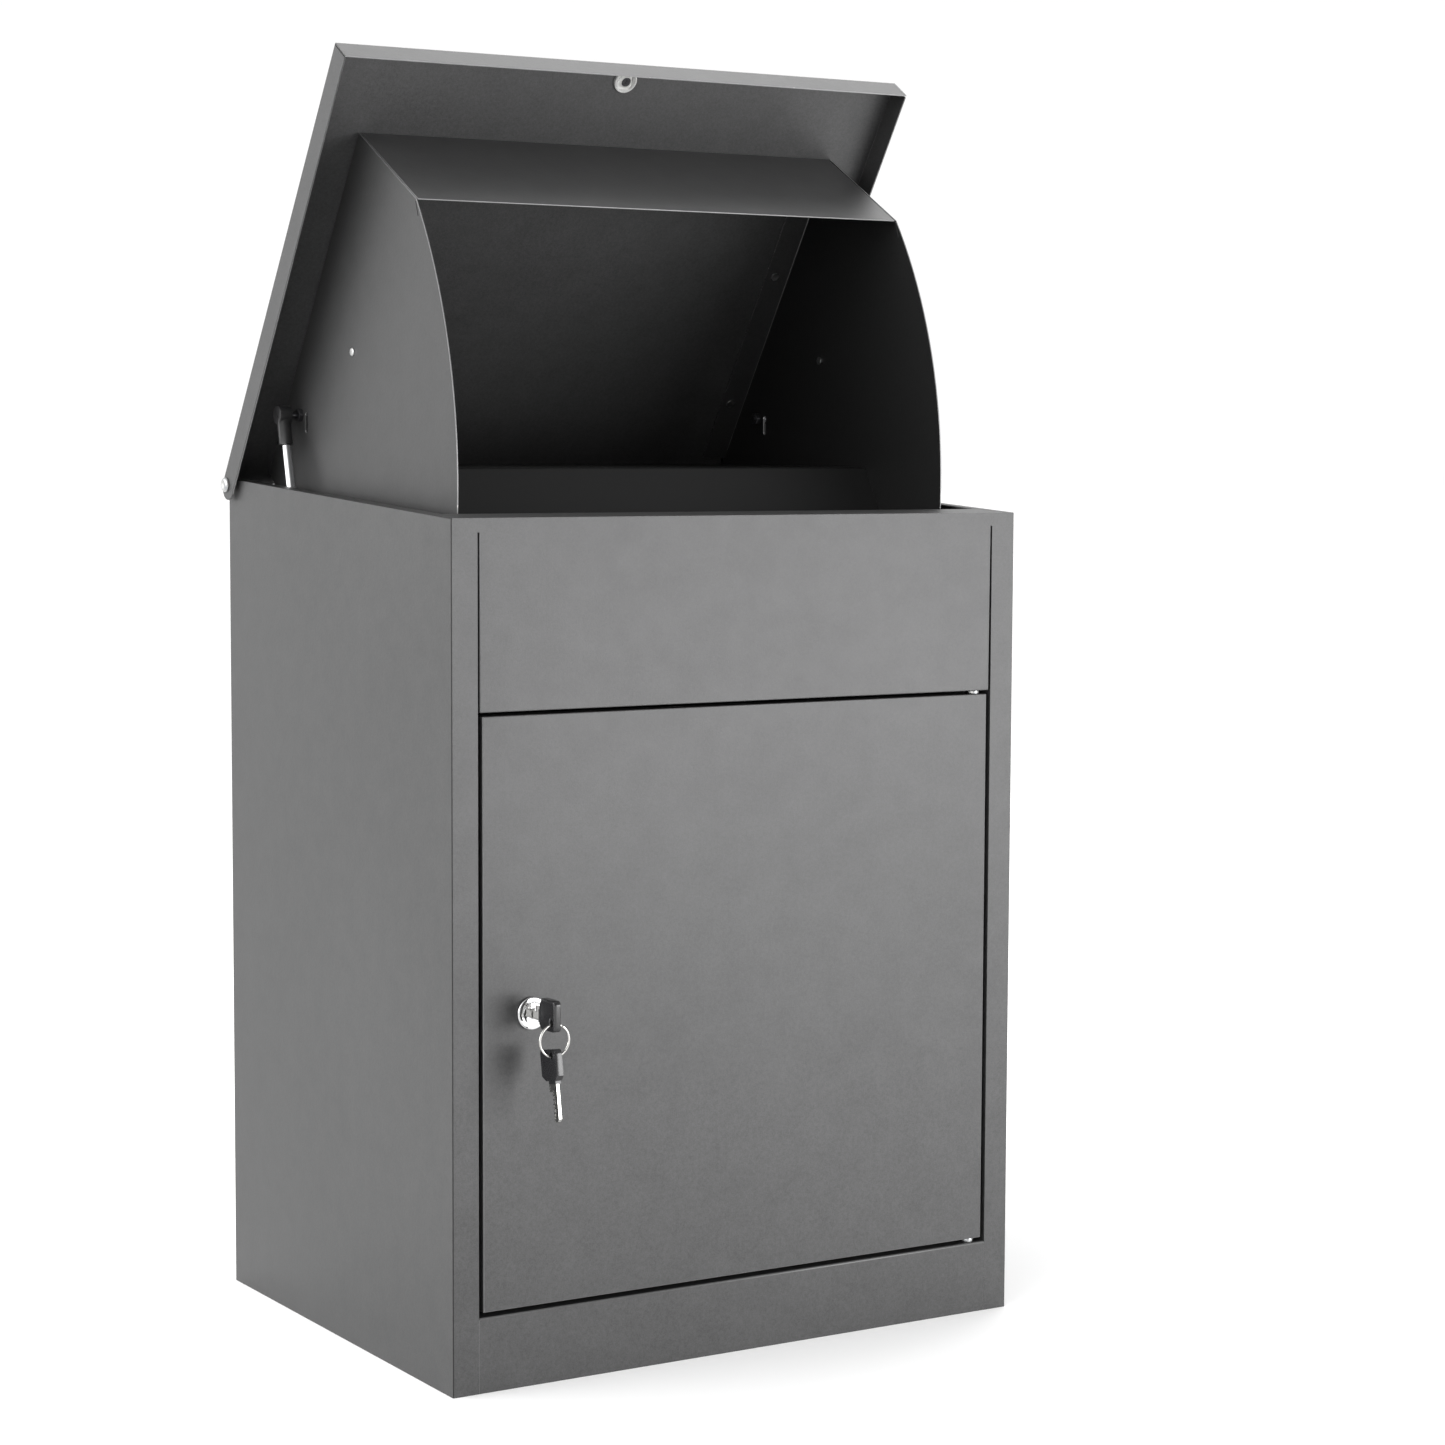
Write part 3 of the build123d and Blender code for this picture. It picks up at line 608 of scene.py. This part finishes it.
class DROPBOX_OT_lid_fittings(bpy.types.Operator):
    """Finishes the lid's pivots, its rivets and its buffer"""
    bl_idname = "dropbox.lid_fittings"
    bl_label = "Lid Fittings"

    def execute(self, context):
        recessed("lid_pivot_rivets", "zinc_steel", 0.0014, 0.0006, 0.0002)
        softened("lid_pivot_washers", "nylon", 0.0003)
        softened("scoop_rivets", "zinc_steel", 0.0001)
        recessed("lid_bumper", "buffer", 0.0008, 0.0012, 0.0002, [LID_UNDERSIDE])
        softened("bumper_screw", "black_oxide", 0.00008)
        return {"FINISHED"}


def strut_tube_piece(side):
    """Gas tube with its mouth rolled over and a crimp that holds the rod guide."""
    node = side + "_strut_tube"
    sizes = bpy.context.scene.drop_box_strut
    axis = -Vector(next(j["axis"] for j in frame["joints"] if j["name"] == side + "_strut_stroke"))
    low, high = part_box(node)
    outer = (high.x - low.x) / 2
    lean = axis.angle(Vector((0, 0, 1)))
    half = (high.z - low.z - 2 * outer * abs(sin(lean))) / cos(lean) / 2
    inner = outer - sizes.tube_wall
    foot_wall, foot_hole = 0.003, 0.001
    mouth = sizes.mouth_radius
    crimp = half - sizes.crimp_below_mouth
    deep, wide = sizes.crimp_depth, sizes.crimp_width
    roll = 0.6 * (outer - mouth)
    profile = [(mouth, half - 0.4 * sizes.tube_wall), (mouth + 0.0006, half),
               (outer - roll, half), (outer - 0.35 * roll, half - 0.25 * roll), (outer, half - roll),
               (outer, crimp + wide), (outer - 0.7 * deep, crimp + 0.4 * wide), (outer - deep, crimp),
               (outer - 0.7 * deep, crimp - 0.4 * wide), (outer, crimp - wide),
               (outer, -half + roll), (outer - 0.35 * roll, -half + 0.25 * roll), (outer - roll, -half),
               (foot_hole, -half), (foot_hole, -half + foot_wall), (inner, -half + foot_wall),
               (inner, half - sizes.tube_wall), (mouth, half - sizes.tube_wall)]
    bm = spun(profile, 48)
    stand(bm, (low + high) / 2, axis)
    for face in bm.faces:
        face.smooth = face.calc_area() < 1e-5
    publish(bm, node, "_finished", "strut_tube")


class DROPBOX_OT_struts(bpy.types.Operator):
    """Finishes the two gas struts, their studs, nuts and brackets"""
    bl_idname = "dropbox.struts"
    bl_label = "Gas Struts"

    def execute(self, context):
        for side in ("right", "left"):
            softened(side + "_strut_rod", "strut_rod", 0.0002)
            softened(side + "_strut_piston", "strut_seal", 0.0002)
            softened(side + "_strut_top_socket", "socket_plastic", 0.0004)
            strut_tube_piece(side)
            softened(side + "_strut_guide", "strut_seal", 0.0001)
            softened(side + "_strut_foot_socket", "socket_plastic", 0.0003)
        softened("strut_brackets", "zinc_steel", 0.0004)
        softened("strut_foot_studs", "zinc_steel", 0.0002)
        softened("strut_top_studs", "black_oxide", 0.0002)
        softened("strut_top_nuts", "black_oxide", 0.0003)
        return {"FINISHED"}


class DROPBOX_OT_door(bpy.types.Operator):
    """Folds the door and finishes its hinge pins and washers"""
    bl_idname = "dropbox.door"
    bl_label = "Door"

    def execute(self, context):
        # painted highlight: the door's folds are lightened as a highlight
        folded_sheet("door_panel", fold_painted_light=0.3, tight_fold=0.0007)
        softened("door_hinge_pins", "zinc_steel", 0.0002)
        softened("door_hinge_washers", "zinc_steel", 0.0002)
        return {"FINISHED"}


class DROPBOX_OT_lock(bpy.types.Operator):
    """Finishes the cam lock"""
    bl_idname = "dropbox.lock"
    bl_label = "Cam Lock"

    def execute(self, context):
        softened("lock_housing", "chromed_lock", 0.0003)
        softened("lock_nut", "zinc_steel", 0.0004)
        softened("lock_plug", "chromed_lock", 0.0002)
        softened("lock_cam", "zinc_steel", 0.0002)
        softened("cam_screw", "zinc_steel", 0.0002)
        return {"FINISHED"}


def split_ring():
    """Key ring wound from almost two turns of flattened spring wire."""
    low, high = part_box("key_ring")
    sizes = bpy.context.scene.drop_box_keys
    outer = (high.x - low.x) / 2
    thick = (high.y - low.y) / 2
    steps = int(sizes.ring_steps * sizes.ring_turns)
    climb = 0.98 * thick * (sizes.ring_turns - 1)
    bm = bmesh.new()
    bmesh.ops.create_circle(bm, cap_ends=True, segments=12, radius=0.5)
    bmesh.ops.rotate(bm, verts=bm.verts, matrix=Matrix.Rotation(pi / 2, 3, "X"))
    bmesh.ops.scale(bm, verts=bm.verts, vec=(sizes.ring_wire, thick, thick))
    bmesh.ops.rotate(bm, verts=bm.verts, matrix=Matrix.Rotation(pi / 2, 3, "X"))
    centre = (low + high) / 2
    bmesh.ops.translate(bm, verts=bm.verts,
                        vec=centre + Vector((outer - sizes.ring_wire / 2, -climb / 2, 0)))
    bmesh.ops.rotate(bm, verts=bm.verts, cent=centre, matrix=Matrix.Rotation(radians(-60), 3, "Y"))
    bmesh.ops.spin(bm, geom=bm.verts[:] + bm.edges[:] + bm.faces[:], cent=centre, axis=(0, 1, 0),
                   dvec=(0, climb / steps, 0), angle=FULL_TURN * sizes.ring_turns, steps=steps,
                   use_duplicate=False)
    bmesh.ops.recalc_face_normals(bm, faces=bm.faces)
    for face in bm.faces:
        face.smooth = len(face.verts) == 4
    publish(bm, "key_ring", "_split", "nickel_key")


class DROPBOX_OT_keys(bpy.types.Operator):
    """Finishes the two keys and winds their split ring"""
    bl_idname = "dropbox.keys"
    bl_label = "Keys"

    def execute(self, context):
        for name in ("key", "spare_key"):
            recessed(name + "_blade", "nickel_key", 0.0012, 0.0003, 0.0001)
            recessed(name + "_bow", "key_plastic", 0.0016, 0.0004, 0.0006)
        split_ring()
        return {"FINISHED"}


# Studio

def area_light(name, place, target, size, power):
    """A soft box that faces its target."""
    data = bpy.data.lights.new(name, "AREA")
    data.shape = "RECTANGLE"
    data.size, data.size_y = size
    data.energy = power
    light = bpy.data.objects.new(name, data)
    light.location = place
    light.rotation_euler = (Vector(target) - Vector(place)).to_track_quat("-Z", "Y").to_euler()
    bpy.context.scene.collection.objects.link(light)


def studio_camera(sizes):
    """Puts the camera at its place, turned by azimuth, pitch and roll."""
    azimuth, pitch, roll = sizes.azimuth, sizes.pitch, sizes.roll
    ahead = Vector((sin(azimuth) * cos(pitch), cos(azimuth) * cos(pitch), -sin(pitch)))
    across = Vector((cos(azimuth), -sin(azimuth), 0))
    upward = across.cross(ahead)
    right = cos(roll) * across + sin(roll) * upward
    top = cos(roll) * upward - sin(roll) * across
    data = bpy.data.cameras.new("camera")
    data.lens = sizes.lens
    data.sensor_width = 36
    data.clip_end = 100
    camera = bpy.data.objects.new("camera", data)
    turn = Matrix((right, top, -ahead)).transposed().to_4x4()
    camera.matrix_world = Matrix.Translation(sizes.position) @ turn
    bpy.context.scene.collection.objects.link(camera)
    bpy.context.scene.camera = camera


def floor_finish(colour):
    """Matt studio floor, with only a breath of variation."""
    s = new_finish("studio_floor")
    cloud = s.noise(2, 2)
    return s.surface({
        "Base Color": s.mix(cloud, shade(colour, 0.985), shade(colour, 1.01)),
        "Roughness": 0.7 + 0.1 * cloud,
        "Emission Color": (1, 1, 1, 1),
        "Emission Strength": 0.15,
    })


def studio_world():
    """A white surround made of broad screens, each brightest along its own axis."""
    world = bpy.data.worlds.new("surround")
    s = Shader(world, "Generated")
    strength = 0.0
    for axis, way, power in SCREENS:
        along = way * s.node("ShaderNodeSeparateXYZ", None, {0: s.place}, output=axis)
        facing = s.node("ShaderNodeMath", {"operation": "MAXIMUM"}, {0: along, 1: 0.0})
        strength = strength + power * (facing * facing)
    glow = s.node("ShaderNodeBackground", None, {"Color": (1, 1, 1, 1), "Strength": strength})
    s.node("ShaderNodeOutputWorld", None, {"Surface": glow}, output=None)
    bpy.context.scene.world = world


class DROPBOX_OT_studio(bpy.types.Operator):
    """Lays the floor and sets up the lights and the camera"""
    bl_idname = "dropbox.studio"
    bl_label = "Studio"

    def execute(self, context):
        sizes = context.scene.drop_box_studio
        bm = bmesh.new()
        bmesh.ops.create_grid(bm, x_segments=8, y_segments=8, size=30.0)
        mesh = bpy.data.meshes.new("studio_floor")
        bm.to_mesh(mesh)
        bm.free()
        floor = bpy.data.objects.new("studio_floor", mesh)
        context.scene.collection.objects.link(floor)
        mesh.materials.append(floor_finish(sizes.floor_colour))
        for light in LIGHTS:
            area_light(*light)
        studio_world()
        studio_camera(sizes)
        context.scene.view_settings.view_transform = "Standard"
        context.scene.view_settings.look = "None"
        return {"FINISHED"}


class DROPBOX_PT_panel(bpy.types.Panel):
    bl_idname = "DROPBOX_PT_panel"
    bl_label = "Drop Box"
    bl_space_type = "VIEW_3D"
    bl_region_type = "UI"
    bl_category = "Drop Box"

    def draw(self, context):
        for step in STEPS:
            self.layout.operator(step.bl_idname)
        for group in GROUPS:
            settings = getattr(context.scene, group)
            for name in settings.__annotations__:
                self.layout.prop(settings, name)


STEPS = (DROPBOX_OT_studio, DROPBOX_OT_cabinet, DROPBOX_OT_lid, DROPBOX_OT_lid_fittings,
         DROPBOX_OT_struts, DROPBOX_OT_door, DROPBOX_OT_lock, DROPBOX_OT_keys)
CLASSES = (*GROUPS.values(), *STEPS, DROPBOX_PT_panel)


def register():
    for cls in CLASSES:
        bpy.utils.register_class(cls)
    for name, group in GROUPS.items():
        setattr(bpy.types.Scene, name, PointerProperty(type=group))


def unregister():
    for name in GROUPS:
        delattr(bpy.types.Scene, name)
    for cls in reversed(CLASSES):
        bpy.utils.unregister_class(cls)


def main():
    register()
    for step in STEPS:
        area, name = step.bl_idname.split(".")
        getattr(getattr(bpy.ops, area), name)()


if __name__ == "__main__":
    main()
